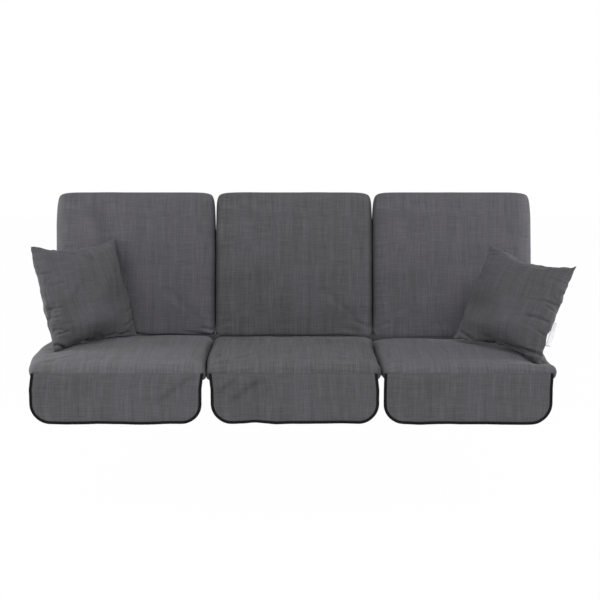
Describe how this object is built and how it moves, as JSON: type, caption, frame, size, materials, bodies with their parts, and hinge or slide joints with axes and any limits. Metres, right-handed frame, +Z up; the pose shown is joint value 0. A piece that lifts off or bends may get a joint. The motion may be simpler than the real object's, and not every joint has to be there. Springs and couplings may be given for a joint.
{
  "type": "porch swing cushion set",
  "caption": "Box cushions for a bench swing: seat and back cushions joined at a fold, with hanging bound front flaps, and knife-edge scatter pillows leaning in the corners.",
  "frame": {"origin": "middle of the flat underside of the centre seat cushion", "axes": "+X along the seat to the right place, +Y from the front flaps to the backs, +Z up"},
  "size_m": [1.743, 0.6457, 0.6586],
  "materials": {
    "cushion_cloth": "slubby linen weave, matt",
    "flap_cloth": "the same linen weave, two layers sewn together",
    "pillow_cloth": "the same linen weave, a little darker",
    "strip_cloth": "the same linen weave, doubled and sewn",
    "binding_tape": "black ribbed tape, folded over the edge",
    "foam": "open-cell foam, hidden",
    "fibre_filling": "polyester fibre, hidden",
    "zip_tape": "woven tape with a coil of dark teeth",
    "zip_metal": "dull nickel",
    "tag_cloth": "white satin tape, blank"
  },
  "bodies": {
    "centre_seat": {"centre_seat_cover": "cushion_cloth", "centre_seat_foam": "foam", "centre_seat_zip": "zip_tape", "centre_seat_fold_strip": "strip_cloth"},
    "left_seat": {"left_seat_cover": "cushion_cloth", "left_seat_foam": "foam", "left_seat_zip": "zip_tape", "left_seat_fold_strip": "strip_cloth"},
    "right_seat": {"right_seat_cover": "cushion_cloth", "right_seat_foam": "foam", "right_seat_zip": "zip_tape", "right_seat_fold_strip": "strip_cloth"},
    "centre_back": {"centre_back_cover": "cushion_cloth", "centre_back_foam": "foam", "centre_back_zip": "zip_tape", "centre_back_fold_strip": "strip_cloth"},
    "centre_flap": {"centre_front_flap": "flap_cloth", "centre_flap_binding": "binding_tape"},
    "centre_seat_zip_slider": {"centre_seat_zip_slider": "zip_metal"},
    "centre_back_zip_slider": {"centre_back_zip_slider": "zip_metal"},
    "left_back": {"left_back_cover": "cushion_cloth", "left_back_foam": "foam", "left_back_zip": "zip_tape", "left_back_fold_strip": "strip_cloth"},
    "left_flap": {"left_front_flap": "flap_cloth", "left_flap_binding": "binding_tape"},
    "left_seat_zip_slider": {"left_seat_zip_slider": "zip_metal"},
    "left_back_zip_slider": {"left_back_zip_slider": "zip_metal"},
    "right_back": {"right_back_cover": "cushion_cloth", "right_back_foam": "foam", "right_back_zip": "zip_tape", "right_back_fold_strip": "strip_cloth"},
    "right_flap": {"right_front_flap": "flap_cloth", "right_flap_binding": "binding_tape"},
    "right_seat_zip_slider": {"right_seat_zip_slider": "zip_metal"},
    "right_back_zip_slider": {"right_back_zip_slider": "zip_metal"},
    "left_pillow": {"left_pillow_cover": "pillow_cloth", "left_pillow_filling": "fibre_filling"},
    "right_pillow": {"right_pillow_cover": "pillow_cloth", "right_pillow_filling": "fibre_filling", "right_pillow_care_tag": "tag_cloth"}
  },
  "joints": [
    {"name": "left_seat_lift", "type": "slide", "parent": "centre_seat", "child": "left_seat", "axis": [0, 0, 1], "range_m": [0, 0.3]},
    {"name": "left_back_fold", "type": "hinge", "parent": "left_seat", "child": "left_back", "pos_m": [-0.54, 0.24, 0.058], "axis": [1, 0, 0], "range_deg": [-78, 0]},
    {"name": "left_flap_swing", "type": "hinge", "parent": "left_seat", "child": "left_flap", "pos_m": [-0.54, -0.2416, 0.032], "axis": [-1, 0, 0], "range_deg": [0, 170]},
    {"name": "left_seat_zip_run", "type": "slide", "parent": "left_seat", "child": "left_seat_zip_slider", "axis": [-1, 0, 0], "range_m": [0, 0.4]},
    {"name": "left_back_zip_run", "type": "slide", "parent": "left_back", "child": "left_back_zip_slider", "axis": [1, 0, 0], "range_m": [0, 0.4]},
    {"name": "centre_back_fold", "type": "hinge", "parent": "centre_seat", "child": "centre_back", "pos_m": [0, 0.24, 0.058], "axis": [1, 0, 0], "range_deg": [-78, 88]},
    {"name": "centre_flap_swing", "type": "hinge", "parent": "centre_seat", "child": "centre_flap", "pos_m": [0, -0.2416, 0.032], "axis": [-1, 0, 0], "range_deg": [0, 170]},
    {"name": "centre_seat_zip_run", "type": "slide", "parent": "centre_seat", "child": "centre_seat_zip_slider", "axis": [-1, 0, 0], "range_m": [0, 0.4]},
    {"name": "centre_back_zip_run", "type": "slide", "parent": "centre_back", "child": "centre_back_zip_slider", "axis": [1, 0, 0], "range_m": [0, 0.4]},
    {"name": "right_seat_lift", "type": "slide", "parent": "centre_seat", "child": "right_seat", "axis": [0, 0, 1], "range_m": [0, 0.3]},
    {"name": "right_back_fold", "type": "hinge", "parent": "right_seat", "child": "right_back", "pos_m": [0.54, 0.24, 0.058], "axis": [1, 0, 0], "range_deg": [-78, 0]},
    {"name": "right_flap_swing", "type": "hinge", "parent": "right_seat", "child": "right_flap", "pos_m": [0.54, -0.2416, 0.032], "axis": [-1, 0, 0], "range_deg": [0, 170]},
    {"name": "right_seat_zip_run", "type": "slide", "parent": "right_seat", "child": "right_seat_zip_slider", "axis": [-1, 0, 0], "range_m": [0, 0.4]},
    {"name": "right_back_zip_run", "type": "slide", "parent": "right_back", "child": "right_back_zip_slider", "axis": [1, 0, 0], "range_m": [0, 0.4]},
    {"name": "left_pillow_lift", "type": "slide", "parent": "left_seat", "child": "left_pillow", "axis": [0, 0, 1], "range_m": [0, 0.45]},
    {"name": "right_pillow_lift", "type": "slide", "parent": "right_seat", "child": "right_pillow", "axis": [0, 0, 1], "range_m": [0, 0.45]}
  ]
}
